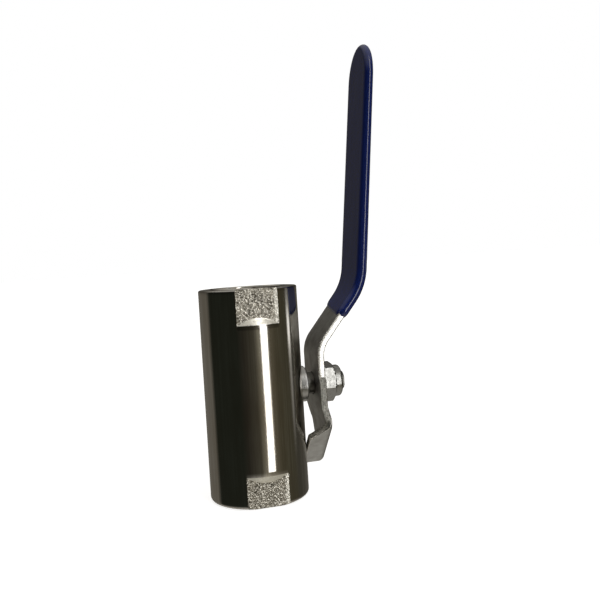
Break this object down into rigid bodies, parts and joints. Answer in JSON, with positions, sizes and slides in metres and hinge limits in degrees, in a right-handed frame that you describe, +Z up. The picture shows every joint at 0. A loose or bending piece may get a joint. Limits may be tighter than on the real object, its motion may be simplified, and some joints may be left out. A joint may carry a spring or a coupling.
{
  "type": "ball valve",
  "caption": "Small one-piece quarter-turn ball valve with a round body, female pipe threads and a bent strip lever in a dipped sleeve.",
  "frame": {"origin": "under the middle of the whole valve's bounding box, on the plane of the lower end face", "axes": "+Z up along the pipe axis, +X along the stem from the body towards the lever, +Y across the lever, away from the folded side of its stop flange"},
  "size_m": [0.0526, 0.027, 0.1241],
  "materials": {
    "turned_steel": "bright turned stainless steel with fine circumferential tool marks",
    "sheet_steel": "stamped stainless sheet, dull rolled faces and bright sheared edges",
    "polished_steel": "smooth machined stainless steel",
    "white_polymer": "waxy white fluoropolymer",
    "blue_vinyl": "dipped vinyl, smooth and slightly glossy"
  },
  "bodies": {
    "valve_body": {"body": "turned_steel", "seat_retainer": "turned_steel", "seat_upper": "white_polymer", "seat_lower": "white_polymer", "thrust_washer": "white_polymer", "packing_ring_1": "white_polymer", "packing_ring_2": "white_polymer", "gland_ring": "polished_steel"},
    "handle": {"stem": "polished_steel", "lever": "sheet_steel", "handle_sleeve": "blue_vinyl", "lever_nut": "polished_steel", "nut_insert": "white_polymer"},
    "ball": {"ball": "polished_steel"}
  },
  "joints": [
    {"name": "handle_turn", "type": "hinge", "parent": "valve_body", "child": "handle", "pos_m": [-0.01285, 0, 0.029], "axis": [-1, 0, 0], "range_deg": [0, 90]},
    {"name": "ball_turn", "type": "hinge", "parent": "valve_body", "child": "ball", "pos_m": [-0.01285, 0, 0.029], "axis": [-1, 0, 0], "range_deg": [0, 90]}
  ],
  "couplings": [
    {"joint": "ball_turn", "follows": "handle_turn", "ratio": 1}
  ]
}
